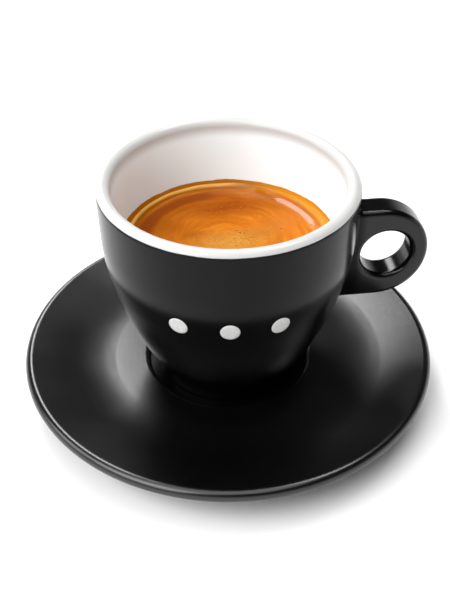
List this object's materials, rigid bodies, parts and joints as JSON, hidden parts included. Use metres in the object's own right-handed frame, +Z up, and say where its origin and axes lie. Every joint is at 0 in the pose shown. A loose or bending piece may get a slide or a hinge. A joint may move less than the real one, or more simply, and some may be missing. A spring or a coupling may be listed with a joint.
{
  "type": "espresso shot",
  "caption": "Espresso with a golden crema in a dark porcelain cup with a white inside and a ring handle, standing on a matching saucer.",
  "frame": {"origin": "on the axis of the cup and saucer, at the level of the table under the saucer's foot ring", "axes": "+Z up along the axis of the cup, +X towards the handle, -Y towards the three printed dots"},
  "size_m": [0.113, 0.113, 0.0653],
  "materials": {
    "dark_glaze": "satin",
    "white_glaze": "gloss",
    "espresso": "satin"
  },
  "bodies": {
    "root": {"saucer": "dark_glaze", "cup": "dark_glaze", "espresso": "espresso"}
  },
  "joints": []
}
